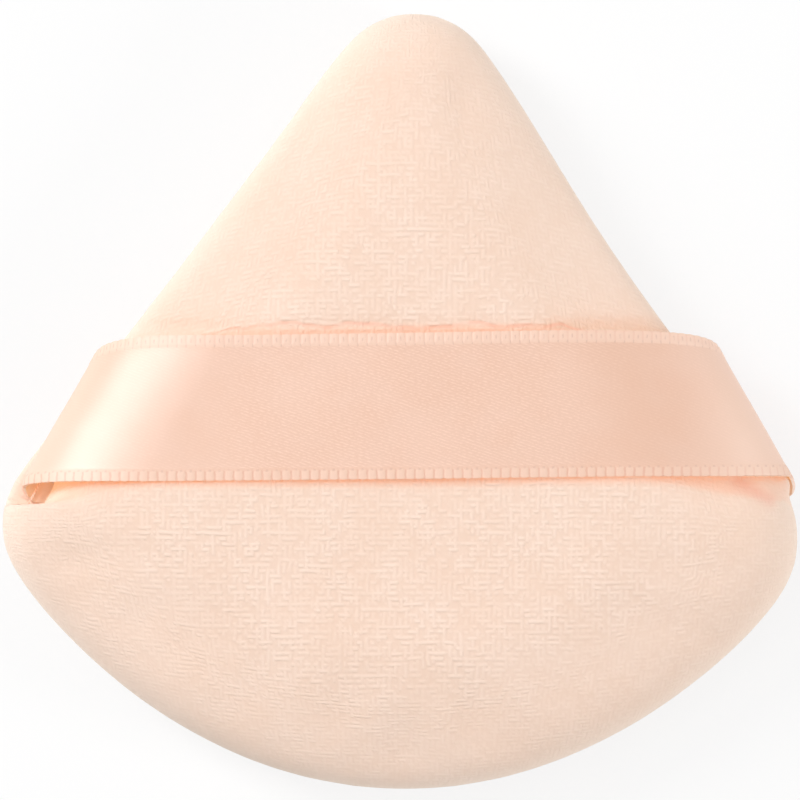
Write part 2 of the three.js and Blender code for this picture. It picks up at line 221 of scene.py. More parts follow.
def rim_distance(points):
    """How far each point lies inside the outline, seen from above, and which way is out."""
    depth = np.empty(len(points))
    out = np.empty((len(points), 2))
    for start in range(0, len(points), batch):
        rows = slice(start, start + batch)
        part = points[rows, :2]
        span = part[:, None, :] - outline[None, :, :]
        near = (span**2).sum(2).argmin(1)
        out[rows] = outline_normals[near]
        depth[rows] = -((part - outline[near]) * out[rows]).sum(1)
    return depth, out


# %% [markdown]
# ## The ribbon's path
#
# The strap is one length of satin ribbon. It runs flat across the front, rolls over a slanted
# fold at each side, curls under and runs into the seam. The fold is slanted because the sides of
# the triangle are. Each point of the ribbon is placed from two measures: how far it has gone
# towards the fold, and how far it lies from the ribbon's middle line.

# %% Ribbon sizes and path
ribbon_width = 12.7 * mm
ribbon_thickness = 0.3 * mm
selvedge_width = 1.1 * mm
ribbon_middle = (0.9 * mm, -0.42 * mm)
ribbon_height = 13.38 * mm
ribbon_crown = 0.95
curl_radius = 1.5 * mm
tuck_length = 4.5 * mm
fold_level = seam_height + curl_radius
pulled_band = (6.4 * mm, 8.8 * mm)
pulled_reach = (-4.0 * mm, -0.5 * mm)


def ribbon_level(x):
    """How high the ribbon's middle layer lies on the front: a little crowned, like the puff."""
    return ribbon_height - ribbon_crown * (x - ribbon_middle[0]) ** 2


def make_fold(side, fold_x, fold_y, angle, reach, slip, last_slip, pull, stand_off):
    """A slanted fold line. The ribbon starts to bend at its reach from the line. On the way down
    its lower and upper edge slip along the line by the two values of slip, and under the curl both
    reach last_slip. Its lower end is pulled in, and there the cushion stands off from it."""
    slant = math.radians(angle)
    along = np.array([-side * math.cos(slant), math.sin(slant)])
    out = np.array([side * math.sin(slant), math.cos(slant)])
    low = fold_y - ribbon_width / 2 - last_slip * along[1]
    return dict(side=side, origin=np.array([fold_x, fold_y]), along=along, out=out, reach=reach,
                slip=slip, last_slip=last_slip, pull=pull, stand_off=stand_off, low=low)


left_fold = make_fold(side=-1, fold_x=-29.25 * mm, fold_y=-0.62 * mm, angle=60.1,
                      reach=9.5 * mm, slip=(0.7 * mm, 2.0 * mm), last_slip=2.25 * mm,
                      pull=0.8 * mm, stand_off=2.3 * mm)
right_fold = make_fold(side=1, fold_x=30.55 * mm, fold_y=-0.2 * mm, angle=60.4,
                       reach=12.5 * mm, slip=(0.0, 1.9 * mm), last_slip=2.3 * mm,
                       pull=0.0, stand_off=0.05 * mm)
folds = [left_fold, right_fold]


def ribbon_line(x):
    """The ribbon's middle line on the plan. It is not quite level: its right end sits higher."""
    return np.interp(x, *zip(left_fold["origin"], right_fold["origin"]))


def ribbon_place(fold, distance, t, slipped):
    """A point on the plan so far out from the fold line, on the line t across the ribbon."""
    way = (t - distance * fold["out"][1]) / fold["along"][1] - slipped
    x = fold["origin"][0] + fold["out"][0] * distance + fold["along"][0] * way
    y = fold["origin"][1] + fold["out"][1] * distance + fold["along"][1] * way
    lower = smoothstep(-y, *pulled_band) * smoothstep(distance, *pulled_reach)
    return x - fold["side"] * fold["pull"] * lower, y


def ribbon_half(fold, across, rows_flat, rows_bend, rows_curl, rows_tuck):
    """Rows of points from the middle of the ribbon to its end in the seam."""
    t = across[None, :]
    angle = np.linspace(0, math.pi / 2, rows_bend + 1)[:, None]
    out = fold["reach"] * (np.sin(angle) - 1)
    down = (ribbon_height - fold_level) * np.cos(angle)
    step = np.hypot(np.diff(out, axis=0), np.diff(down, axis=0)) - np.diff(out, axis=0)
    spare = np.concatenate([[[0.0]], np.cumsum(step, axis=0)])
    edge_slip = np.interp(t, (-ribbon_width / 2, ribbon_width / 2), fold["slip"])
    x, y = ribbon_place(fold, out, t, edge_slip * spare / spare[-1])
    bend = np.stack([x, y, fold_level + (ribbon_level(x) - fold_level) * np.cos(angle)], axis=-1)
    share = np.linspace(0, 1, rows_flat, endpoint=False)[:, None]
    x = ribbon_middle[0] * (1 - share) + bend[:1, :, 0] * share
    y = (ribbon_middle[1] + across) * (1 - share) + bend[:1, :, 1] * share
    flat = np.stack([x, y, ribbon_level(x)], axis=-1)
    turn = np.linspace(0, math.pi / 2, rows_curl + 1)[1:, None]
    slip = edge_slip + (fold["last_slip"] - edge_slip) * np.sin(turn)
    x, y = ribbon_place(fold, curl_radius * (np.cos(turn) - 1), t, slip)
    level = np.broadcast_to(fold_level - curl_radius * np.sin(turn), x.shape)
    curl = np.stack([x, y, level], axis=-1)
    inward = np.linspace(0, tuck_length, rows_tuck + 1)[1:, None]
    x, y = ribbon_place(fold, -curl_radius - inward, t, fold["last_slip"])
    tuck = np.stack([x, y, np.full_like(x, seam_height)], axis=-1)
    return np.concatenate([flat, bend, curl, tuck])


# %% [markdown]
# ## The filled body of the puff
#
# A cushion starts as its flat outline. A circle is laid on the outline, filled and extruded to
# the height of the seam band, and both of its faces are inset step by step while they rise, which
# rounds the rims. The shape starts a little thin, because the cloth is about to swell.

# %% Crowned start shape
quarter_steps = 7


def crowned_body(name, inset, low, high, rim):
    """A closed cushion on the outline, drawn in by an inset, between a low and a high level."""
    bpy.ops.object.select_all(action="DESELECT")
    bpy.ops.mesh.primitive_circle_add(vertices=outline_steps, radius=1, fill_type="NGON")
    body = bpy.context.object
    body.name = name
    points = np.zeros((outline_steps, 3))
    order = list(body.data.polygons[0].vertices)
    points[order, :2] = outline - inset * outline_normals
    points[:, 2] = seam_height - bead_height
    move_to(body, points)

    def round_off(rise):
        angles = np.linspace(0, math.pi / 2, quarter_steps + 1)
        for a, b in zip(angles, angles[1:]):
            bpy.ops.mesh.inset(thickness=rim * (math.cos(a) - math.cos(b)),
                               depth=rise * (math.sin(b) - math.sin(a)))

    bpy.ops.object.mode_set(mode="EDIT")
    bpy.ops.mesh.select_all(action="SELECT")
    bpy.ops.mesh.extrude_region_move(TRANSFORM_OT_translate={"value": (0, 0, 2 * bead_height)})
    round_off(high - seam_height - bead_height)
    bpy.ops.mesh.select_all(action="DESELECT")
    bpy.ops.mesh.select_mode(type="EDGE")
    bpy.ops.mesh.select_non_manifold()
    bpy.ops.mesh.edge_face_add()
    bpy.ops.mesh.select_all(action="SELECT")
    bpy.ops.mesh.normals_make_consistent(inside=False)
    bpy.ops.mesh.select_mode(type="FACE")
    bpy.ops.mesh.select_all(action="DESELECT")
    mesh = bmesh.from_edit_mesh(body.data)
    min(mesh.faces, key=lambda face: face.calc_center_median().z).select = True
    bmesh.update_edit_mesh(body.data)
    round_off(seam_height - bead_height - low)
    bpy.ops.mesh.select_all(action="SELECT")
    bpy.ops.mesh.normals_make_consistent(inside=False)
    bpy.ops.object.mode_set(mode="OBJECT")
    return body


body = crowned_body("puff_body", inset=0.0, low=0.5 * mm, high=11.9 * mm, rim=6.3 * mm)
print("Start shape:", len(body.data.polygons), "faces")

# %% [markdown]
# ## Swelling the cushion
#
# The foam pushes the velour outwards, and the stitched edge holds it back. Blender's Cloth does
# the same: pressure inside, no gravity, and the seam pinned. Cloth settings are tuned for
# cushions of sofa size, so the copy is made six times as large, remeshed into even squares,
# blown up over twenty frames and brought back to its real size. How far a point may move is
# capped.

# %% Cloth pressure
cloth_scale = 6
voxel = 0.85 * mm
pressure = 1.2
most_swell = 1.1 * mm
pinned_band = 0.9 * mm
cloth_frames = 20
smoothing = 0.5


def swell(piece):
    """Blows a closed piece up like a filled cushion, with its seam held."""
    move_to(piece, places(piece) * cloth_scale)
    pick(piece)
    piece.data.remesh_voxel_size = voxel * cloth_scale
    bpy.ops.object.voxel_remesh()
    apply_modifier(piece, "SMOOTH", factor=smoothing, iterations=6)
    before = places(piece)
    held = piece.vertex_groups.new(name="seam")
    band = np.abs(before[:, 2] / cloth_scale - seam_height) < pinned_band
    held.add(np.flatnonzero(band).tolist(), 1.0, "REPLACE")
    cloth = piece.modifiers.new("Cloth", "CLOTH")
    cloth.settings.use_pressure = True
    cloth.settings.uniform_pressure_force = pressure
    cloth.settings.vertex_group_mass = "seam"
    cloth.settings.effector_weights.gravity = 0
    cloth.point_cache.frame_start = 1
    cloth.point_cache.frame_end = cloth_frames
    for step in range(1, cloth_frames + 1):
        bpy.context.scene.frame_set(step)
    pick(piece)
    bpy.ops.object.modifier_apply(modifier=cloth.name)
    piece.vertex_groups.clear()
    moved = places(piece) - before
    length = np.linalg.norm(moved, axis=1)
    cap = most_swell * cloth_scale
    moved *= np.minimum(1, cap / np.maximum(length, 1e-9))[:, None]
    move_to(piece, (before + moved) / cloth_scale)
    return length.max() / cloth_scale, np.abs(moved).max() / cloth_scale


went, kept = swell(body)
apply_modifier(body, "SMOOTH", factor=smoothing, iterations=10)
apply_modifier(body, "SUBSURF", levels=1, render_levels=1)
swollen = places(body)
print(f"Cloth moved points by up to {went / mm:.2f} mm, kept {kept / mm:.2f} mm; "
      f"{len(swollen)} points")

# %% [markdown]
# ## What presses on the cushion
#
# The cloth gives way where something touches it: it lies flat on the table underneath, the
# ribbon sinks into it on top and at the folds, and the stitches draw it into a groove all round.
# Each of these moves points only as far as the thing that presses, with a soft edge.

# %% Table, ribbon and seam groove
press_gap = 0.05 * mm
press_fade = 1.2 * mm
above_fade = 3.0 * mm
stand_off_fade = (2.5 * mm, 8.0 * mm)
edge_swell = 0.5 * mm
edge_swell_width = 2.4 * mm
ribbon_ease = 0.1 * mm
late_slip = 0.2


def beside_fold(points, fold):
    """How far out each point lies from a fold line, how much of the ribbon it faces, and how far
    the cushion stands off there, which is only near the lower end."""
    distance = (points[:, :2] - fold["origin"]) @ fold["out"]
    up = points[:, 1] - fold["low"]
    gap = fold["stand_off"] * (1 - smoothstep(up, *stand_off_fade))
    return distance, smoothstep(up, -press_fade / 4, press_fade), gap


def press_ribbon(points, gap):
    """Moves points that would come nearer to the ribbon than a gap."""
    under = ribbon_thickness / 2 + gap
    t = np.abs(points[:, 1] - ribbon_line(points[:, 0]))
    past = smoothstep(t, ribbon_width / 2 - ribbon_ease, ribbon_width / 2 + edge_swell_width)
    top = ribbon_level(points[:, 0]) - under + past * edge_swell
    points[:, 2] = np.minimum(points[:, 2], np.where(past < 1, top, 1))
    for fold in folds:
        distance, fade, stand_off = beside_fold(points, fold)
        # The ribbon's upper edge is level until it slips down at the very end of the bend
        level_share = np.clip(-distance / fold["reach"], 0, 1) ** late_slip
        slipped = fold["low"] + ribbon_width
        top = slipped + (fold["origin"][1] + ribbon_width / 2 - slipped) * level_share
        fade = fade * (1 - smoothstep(points[:, 1] - top, press_fade / 4, above_fade))
        fade = fade * (points[:, 2] > seam_height)
        # The bend over the fold is a quarter of an ellipse, and the cushion a smaller one
        wide = fold["reach"] - under - stand_off
        tall = ribbon_level(points[:, 0]) - fold_level - under
        across = np.maximum(distance + fold["reach"], 0) / wide
        up = np.maximum(points[:, 2] - fold_level, 0) / tall
        size = np.hypot(across, up)
        over = (size > 1) & (distance > -fold["reach"])
        back = np.where(over, 1 - 1 / np.maximum(size, 1e-9), 0) * fade
        points[:, :2] -= (back * across * wide)[:, None] * fold["out"]
        points[:, 2] -= back * up * tall
    return points


unevenness = 0.07 * mm
dent_size = 7 * mm
crease_depth = 0.16 * mm
crease_width = 0.7 * mm
pull_from = np.array([29.4 * mm, -7.0 * mm])
pull_to = np.array([32.2 * mm, -8.7 * mm])
pull_depth = 0.3 * mm
pull_width = 0.6 * mm
bump_middle = np.array([33.2 * mm, -7.4 * mm, 7.4 * mm])
bump_size = 0.95 * mm
bump_rise = 0.8 * mm
groove_rim = (2.5 * mm, 4 * mm)


def pull_crease(points):
    """How much each point lies in the short crease that the ribbon's right end pulls."""
    run = pull_to - pull_from
    share = np.clip((points[:, :2] - pull_from) @ run / (run @ run), 0, 1)
    off = np.linalg.norm(points[:, :2] - pull_from - share[:, None] * run, axis=1)
    return np.exp(-(off / pull_width) ** 2) * (points[:, 2] > seam_height + bead_height)


def shape_cushion(points):
    """The swollen cushion with everything that presses on it."""
    depth, out = rim_distance(points)
    points[:, :2] += np.minimum(depth, 0)[:, None] * out
    # Foam is never quite even, and a crease runs beside the ribbon's upper edge
    uneven = np.array([noise.noise(Vector(p / dent_size)) for p in points])
    points[:, 2] += unevenness * uneven * np.sign(points[:, 2] - seam_height)
    depth, out = rim_distance(points)
    lift = np.abs(points[:, 2] - seam_height)
    curve = np.clip(1 - lift / bead_height, 0, 1)
    groove = bead_depth * (1 - np.sqrt(1 - curve**2))
    near_rim = 1 - smoothstep(depth, *groove_rim)
    points[:, :2] -= (groove * near_rim)[:, None] * out
    # The cover swells out beside the pulled crease, as far as the ribbon's curl lets it
    off = np.linalg.norm(points - bump_middle, axis=1)
    points[:, :2] += (bump_rise * np.exp(-(off / bump_size) ** 2))[:, None] * out
    points = press_ribbon(points, press_gap)
    beyond = points[:, 1] - ribbon_line(points[:, 0]) - ribbon_width / 2
    crease = np.clip(1 - np.abs(beyond - crease_width) / crease_width, 0, 1)
    points[:, 2] -= crease_depth * crease * (points[:, 2] > seam_height + bead_height)
    points[:, 2] -= pull_depth * pull_crease(points)
    points[:, 2] = np.maximum(points[:, 2], 0)
    return points


move_to(body, shape_cushion(swollen))
shaped = places(body)
print(f"Shaped cushion: z {shaped[:, 2].min() / mm:.2f} to {shaped[:, 2].max() / mm:.2f} mm")

# %% [markdown]
# ## Two velour panels
#
# The cover is two panels, so the cushion is cut in two at the level of the seam with the bisect
# operator. Each half gets its sewn edge turned in, by extruding the cut edge towards the inside,
# and a thickness from the Solidify modifier.

# %% Front and back panel
cloth_thickness = 0.5 * mm
turned_in = 2.2 * mm
ribbon_room = 0.22 * mm
room_reach = (-9 * mm, -8 * mm)
room_band = (0.2 * mm, 1.2 * mm)
cut_back = 0.3 * mm


def panel(name, front):
    """One half of the cushion with its sewn edge turned in."""
    half = link(name, body.data.copy())
    pick(half)
    bpy.ops.object.mode_set(mode="EDIT")
    bpy.ops.mesh.select_all(action="SELECT")
    bpy.ops.mesh.bisect(plane_co=(0, 0, seam_height), plane_no=(0, 0, 1),
                        clear_inner=front, clear_outer=not front)
    bpy.ops.mesh.select_all(action="DESELECT")
    bpy.ops.mesh.select_mode(type="EDGE")
    bpy.ops.mesh.select_non_manifold()
    bpy.ops.mesh.extrude_edges_move()
    bpy.ops.object.mode_set(mode="OBJECT")
    chosen = np.zeros(len(half.data.vertices), bool)
    half.data.vertices.foreach_get("select", chosen)
    points = places(half)
    depth, out = rim_distance(points[chosen])
    points[chosen, :2] -= turned_in * out
    # The ribbon's end needs room between the two turned edges, and the front panel ends inside it
    up = 1 if front else -1
    for fold in folds:
        distance, facing, stand_off = beside_fold(points, fold)
        inside = facing * (1 - smoothstep(points[:, 1], fold["low"] + ribbon_width,
                                          fold["low"] + ribbon_width + press_fade))
        inside *= smoothstep(distance, *room_reach)
        inside *= 1 - smoothstep(np.abs(points[:, 2] - seam_height), *room_band)
        if front:
            over = np.maximum(distance + stand_off + cut_back, 0) * inside
            points[:, :2] -= over[:, None] * fold["out"]
        points[:, 2] += up * ribbon_room * inside
    move_to(half, points)
    apply_modifier(half, "SOLIDIFY", thickness=cloth_thickness, offset=-1, use_even_offset=False)
    return half


front_panel = panel("front_panel", True)
back_panel = panel("back_panel", False)
for half in (front_panel, back_panel):
    half.data.shade_smooth()
    print(half.name, len(half.data.polygons), "faces")

# %% [markdown]
# ## The foam core
#
# Inside is a pad of soft foam, a little smaller than its cover. It is built like the cushion,
# only drawn in on all sides.

# %% Foam core
foam_inset = 2.2 * mm
foam_gap = 1.4 * mm

foam_core = crowned_body("foam_pad", inset=foam_inset, low=1.2 * mm, high=11.2 * mm,
                         rim=4.8 * mm)
apply_modifier(foam_core, "SUBSURF", levels=1, render_levels=1, subdivision_type="SIMPLE")
move_to(foam_core, press_ribbon(places(foam_core), foam_gap))
bpy.data.objects.remove(body)
foam_core.data.shade_smooth()
print("Foam core:", len(foam_core.data.polygons), "faces")

# %% [markdown]
# ## The satin ribbon
#
# A ribbon has a woven edge on both sides, the selvedge, where the crossing threads turn back. It
# is thicker there and a little scalloped. The sheet is a grid whose rows follow the ribbon's path,
# fine enough for each thread loop of the selvedge to be real.

# %% Ribbon sheets
loop_pitch = 0.83 * mm
loop_height = 0.035 * mm
bar_length = 0.85 * mm
scallop = 0.02 * mm
scallop_width = 0.35 * mm
crossing_width = 0.25 * mm
ripple = 0.025 * mm
ripple_size = 1.9 * mm
edge_columns = 9
middle_columns = 22
sharp_angle = 60


def ribbon_columns():
    """Places across the ribbon, close together in the two woven edges."""
    half = ribbon_width / 2
    edge = np.linspace(half - selvedge_width, half, edge_columns + 1)
    inner = np.linspace(selvedge_width - half, half - selvedge_width, middle_columns + 1)
    return np.concatenate([-edge[::-1], inner[1:-1], edge])


def ribbon_sheet(name, fold):
    """One half of the ribbon, from its middle to its end in the seam."""
    across = ribbon_columns()
    rows = ribbon_half(fold, across, rows_flat=190, rows_bend=90, rows_curl=22, rows_tuck=16)
    steps = np.linalg.norm(np.diff(rows, axis=0), axis=2)
    length = np.concatenate([np.zeros((1, len(across))), np.cumsum(steps, axis=0)])
    from_edge = ribbon_width / 2 - np.abs(across)[None, :]
    wave = np.cos(2 * math.pi * length / loop_pitch)
    count = len(across)
    height = len(rows)
    index = np.arange(height * count).reshape(height, count)
    quads = np.stack([index[:-1, :-1], index[1:, :-1], index[1:, 1:], index[:-1, 1:]], axis=-1)
    quads = quads.reshape(-1, 4)
    if fold["side"] < 0:
        quads = quads[:, ::-1]
    flat_points = rows.copy()
    edge_part = np.clip(1 - from_edge / scallop_width, 0, 1)
    flat_points[:, :, 1] += np.sign(across)[None, :] * scallop * wave * edge_part
    mesh = bpy.data.meshes.new(name)
    mesh.from_pydata(flat_points.reshape(-1, 3).tolist(), [], quads.tolist())
    sheet = link(name, mesh)
    # Upright bars in the outer part of the selvedge, and a row of crossings inside them
    bars = smoothstep(wave, -0.95, -0.4) * smoothstep(from_edge, bar_length + 0.1 * mm, bar_length)
    crossing = np.cos(math.pi * (from_edge - bar_length) / crossing_width) * wave
    crossing *= (from_edge > bar_length) & (from_edge < selvedge_width)
    raised = loop_height * (bars - 0.5 * crossing + 0.3 * (from_edge < selvedge_width))
    raised += ripple * np.cos(flat_points[:, :, 0] / ripple_size) * np.sin(
        (flat_points[:, :, 0] * 0.4 + flat_points[:, :, 1]) / ripple_size)
    out = normals(sheet)
    if out[:, 2][0] < 0:
        raise ValueError("the ribbon's face looks down")
    move_to(sheet, places(sheet) + out * raised.reshape(-1, 1))
    # The map: u is the length along the ribbon, v the place across it, in metres
    uv = mesh.uv_layers.new(name="ribbon")
    flat_length = (fold["side"] * length).reshape(-1)
    flat_across = np.broadcast_to(across, rows.shape[:2]).reshape(-1)
    corner = np.empty(len(mesh.loops), np.int32)
    mesh.loops.foreach_get("vertex_index", corner)
    pairs = np.stack([flat_length[corner], flat_across[corner]], axis=1)
    uv.data.foreach_set("uv", pairs.astype(np.float32).ravel())
    total = float(length[-1].mean())
    apply_modifier(sheet, "SOLIDIFY", thickness=ribbon_thickness, offset=0, use_even_offset=False)
    # Solidify adds the underside after the points of the face
    under = sheet.data.attributes.new("under", "FLOAT", "POINT")
    layer = np.repeat([0.0, 1.0], height * count).astype(np.float32)
    under.data.foreach_set("value", layer)
    pick(sheet)
    bpy.ops.object.shade_smooth_by_angle(angle=math.radians(sharp_angle))
    print(f"{name}: {total / mm:.1f} mm long, {len(sheet.data.polygons)} faces")
    return sheet, total


ribbon_left, left_length = ribbon_sheet("ribbon_left", left_fold)
ribbon_right, right_length = ribbon_sheet("ribbon_right", right_fold)

# %% [markdown]
# ## A map for the velour
#
# The pile pattern follows the cloth, so it needs a flat map of the panel. Seen from above the
# flat part is its own map. Where the rim turns down, the map is pushed outwards by the drop, as
# if the cloth were smoothed out on a table.

# %% Velour map
front_level = 12.8 * mm
rim_band = (5 * mm, 9 * mm)
deep_band = (2 * mm, 14 * mm)


def cloth_map(piece, face_level):
    """Writes a map of the panel laid flat, in metres, and two masks: how deep each point is in the
    panel, and how much it lies in the pulled crease, which the velour tints as painted shade."""
    points = places(piece)
    depth, out = rim_distance(points)
    drop = np.abs(points[:, 2] - face_level) * (1 - smoothstep(depth, *rim_band))
    flat = points[:, :2] + out * drop[:, None]
    corner = np.empty(len(piece.data.loops), np.int32)
    piece.data.loops.foreach_get("vertex_index", corner)
    uv = piece.data.uv_layers.new(name="cloth")
    uv.data.foreach_set("uv", flat[corner].astype(np.float32).ravel())
    for name, mask in (("deep", smoothstep(depth, *deep_band)), ("pulled_crease_shade", pull_crease(points))):
        written = piece.data.attributes.new(name, "FLOAT", "POINT")
        written.data.foreach_set("value", mask.astype(np.float32))


cloth_map(front_panel, front_level)
cloth_map(back_panel, 0.0)

# %% [markdown]
# ## Materials: the tools
#
# A colour in a picture is not the number a renderer wants, so one helper turns one into the
# other. The rest add a node with its settings in one go. Textures are worked out in metres, so a
# map is stretched until one unit is one thread or one tuft.

# %% Node helpers
def linear(r, g, b):
    """A colour as it reads in a picture, turned into the renderer's own values."""
    def one(c):
        c /= 255
        return c / 12.92 if c <= 0.04045 else ((c + 0.055) / 1.055) ** 2.4
    return (one(r), one(g), one(b), 1)


def node(tree, kind, inputs=None, **settings):
    """Adds a node, sets its options and its inputs, which are values or sockets."""
    made = tree.nodes.new("ShaderNode" + kind)
    for name, value in settings.items():
        setattr(made, name, value)
    for key, value in (inputs or {}).items():
        if isinstance(value, bpy.types.NodeSocket):
            tree.links.new(value, made.inputs[key])
        else:
            made.inputs[key].default_value = value
    return made


def math_node(tree, operation, *values):
    """One sum on single values."""
    return node(tree, "Math", dict(enumerate(values)), operation=operation).outputs[0]


def product(tree, first, second):
    """Two single values multiplied."""
    return math_node(tree, "MULTIPLY", first, second)


def difference(tree, first, second):
    """The first single value less the second."""
    return math_node(tree, "SUBTRACT", first, second)


def stretched(tree, vector, x, y, z=1.0):
    """A map divided by a size in each direction, so that one unit is one tuft or thread."""
    sizes = (1 / x, 1 / y, 1 / z)
    made = node(tree, "VectorMath", {0: vector, 1: sizes}, operation="MULTIPLY")
    return made.outputs["Vector"]


def ramp(tree, value, low, high, to_low=0.0, to_high=1.0):
    """A smooth change from one value to another."""
    made = node(tree, "MapRange", {"Value": value, "From Min": low, "From Max": high,
                                   "To Min": to_low, "To Max": to_high},
                interpolation_type="SMOOTHSTEP")
    return made.outputs["Result"]


def noise_value(tree, vector, detail=2.0):
    """Soft random values on a map."""
    made = node(tree, "TexNoise", {"Vector": vector, "Scale": 1.0, "Detail": detail})
    return made.outputs["Fac"]


def colour_mix(tree, share, first, second):
    """Mixes two colours, each a value or a socket."""
    # The colour sockets of this node share their names with others, so they go by number
    return node(tree, "Mix", {0: share, 6: first, 7: second}, data_type="RGBA").outputs[2]


def tinted(tree, colour, mask, share, tone):
    """A colour with a tone laid over it by a share, where a mask is."""
    return colour_mix(tree, product(tree, mask, share), colour, linear(*tone))


def relief(tree, shader, height, strength, distance):
    """Fine relief on a material, from a height and how far its peaks stand up."""
    bump = node(tree, "Bump", {"Height": height, "Strength": strength, "Distance": distance})
    tree.links.new(bump.outputs["Normal"], shader.inputs["Normal"])


def new_material(name):
    """An empty node material with its Principled shader."""
    material = bpy.data.materials.new(name)
    material.use_nodes = True
    tree = material.node_tree
    return material, tree, tree.nodes["Principled BSDF"]


def new_group(name, inputs, outputs):
    """An empty node group with single-value, vector or colour sockets."""
    group = bpy.data.node_groups.new(name, "ShaderNodeTree")
    for label, kind in inputs.items():
        group.interface.new_socket(label, in_out="INPUT", socket_type="NodeSocket" + kind)
    for label, kind in outputs.items():
        group.interface.new_socket(label, in_out="OUTPUT", socket_type="NodeSocket" + kind)
    entry = group.nodes.new("NodeGroupInput")
    leave = group.nodes.new("NodeGroupOutput")
    return group, entry.outputs, leave.inputs


# %% [markdown]
# ## One effect for every fabric: handling
#
# No dyed cloth has quite the same colour all over: it is paler where it has been rubbed and warmer
# in between, in clouds of several millimetres. The velour, the satin, the thread and the foam all
# use this effect, so it is built once, as a node group.

# %% Cloudy dye group
large_cloud = 9 * mm
small_cloud = 2.5 * mm

dye_group, ins, outs = new_group("cloudy_dye", {"Vector": "Vector", "Colour": "Color",
                                                "Amount": "Float"}, {"Colour": "Color"})
large = noise_value(dye_group, stretched(dye_group, ins["Vector"], *[large_cloud] * 3))
small = noise_value(dye_group, stretched(dye_group, ins["Vector"], *[small_cloud] * 3))
cloud = math_node(dye_group, "MULTIPLY_ADD", large, 0.65, product(dye_group, small, 0.35))
cloud = difference(dye_group, ramp(dye_group, cloud, 0.35, 0.65), 0.5)
cloud = product(dye_group, cloud, ins["Amount"])
toned = node(dye_group, "HueSaturation", {
    "Color": ins["Colour"], "Saturation": difference(dye_group, 1.0, cloud),
    "Value": math_node(dye_group, "MULTIPLY_ADD", cloud, 0.25, 1.0)})
dye_group.links.new(toned.outputs["Color"], outs["Colour"])
print("Cloudy dye group made")


def dyed(tree, vector, colour, amount):
    """A colour with the cloudy dye on it."""
    inputs = {"Vector": vector, "Colour": colour, "Amount": amount}
    return node(tree, "Group", inputs, node_tree=dye_group).outputs["Colour"]


# %% [markdown]
# ## Velour
#
# Velour is a knit with a dense, short pile. The tufts stand in straight rows both ways, so the
# nap shows a faint grid of short dashes, some along and some across, clearest on the flat face.
# At the edges one looks along the fibres: the shader's sheen brightens them, and the colour is
# painted paler there too, a painted sheen. Pure noise would look like fur, so each row is a
# ridge, and noise only sets where its dashes begin and end.

# %% Velour
row_pitch = 0.48 * mm
dash_length = 0.85 * mm
tuft = 0.22 * mm
row_wander = 0.4 * mm
wander_size = 2.4 * mm
patch_size = 5 * mm
row_offset = 7.31
crease_line = 0.28 * mm
crease_band = (0.35 * mm, 0.95 * mm)
crease_end = (21 * mm, 16 * mm)
painted_shade_band = (1.0 * mm, 0.1 * mm)
painted_shade_start = (-33 * mm, -30 * mm)


def tuft_rows(tree, run, over):
    """Straight rows of short dashes: each row is a ridge whose height changes along its run."""
    row = math_node(tree, "DIVIDE", over, row_pitch)
    number = math_node(tree, "FLOOR", row)
    ridge = ramp(tree, math_node(tree, "PINGPONG", row, 0.5), 0.0, 0.4)
    spot = node(tree, "CombineXYZ", {"X": math_node(tree, "DIVIDE", run, dash_length),
                                     "Y": product(tree, number, row_offset)})
    dash = ramp(tree, noise_value(tree, spot.outputs[0], detail=1.0), 0.38, 0.6)
    return product(tree, math_node(tree, "MULTIPLY_ADD", ridge, 0.9, 0.1), dash)


velour, tree, shader = new_material("velour")
flat_map = node(tree, "UVMap", uv_map="cloth").outputs["UV"]
deep = node(tree, "Attribute", attribute_name="deep").outputs["Fac"]
wander_map = stretched(tree, flat_map, wander_size, wander_size)
wander = node(tree, "TexNoise", {"Vector": wander_map, "Scale": 1.0, "Detail": 2.0})
shift = node(tree, "VectorMath", {0: wander.outputs["Color"], 1: (row_wander,) * 3},
             operation="MULTIPLY")
moved = node(tree, "VectorMath", {0: flat_map, 1: shift.outputs[0]}, operation="ADD")
parts = node(tree, "SeparateXYZ", {0: moved.outputs[0]})
level_rows = tuft_rows(tree, parts.outputs["X"], parts.outputs["Y"])
upright_rows = tuft_rows(tree, parts.outputs["Y"], parts.outputs["X"])
dashes = node(tree, "Math", {0: level_rows, 1: product(tree, upright_rows, 0.8),
                             2: 0.3}, operation="SMOOTH_MAX").outputs[0]
fuzz = noise_value(tree, stretched(tree, flat_map, tuft, tuft), detail=1.0)
patch = noise_value(tree, stretched(tree, flat_map, patch_size, patch_size))
patch = ramp(tree, patch, 0.35, 0.6, 0.65, 1.0)
strength = product(tree, math_node(tree, "MULTIPLY_ADD", deep, 0.45, 0.55), patch)
nap = product(tree, dashes, strength)

colour = colour_mix(tree, nap, linear(242, 213, 194), linear(250, 224, 207))
colour = dyed(tree, flat_map, colour, 0.06)
# Painted shade: the pile under and beside the ribbon is painted warmer, and the crease above pink
place = node(tree, "SeparateXYZ", {0: flat_map})
ends = [[float(value) for value in fold["origin"]] for fold in folds]
line = node(tree, "MapRange", {"Value": place.outputs["X"],
                               "From Min": ends[0][0], "From Max": ends[1][0],
                               "To Min": ends[0][1], "To Max": ends[1][1]})
off_line = difference(tree, place.outputs["Y"], line.outputs["Result"])
above = difference(tree, off_line, ribbon_width / 2)
beside = difference(tree, math_node(tree, "ABSOLUTE", off_line), ribbon_width / 2)
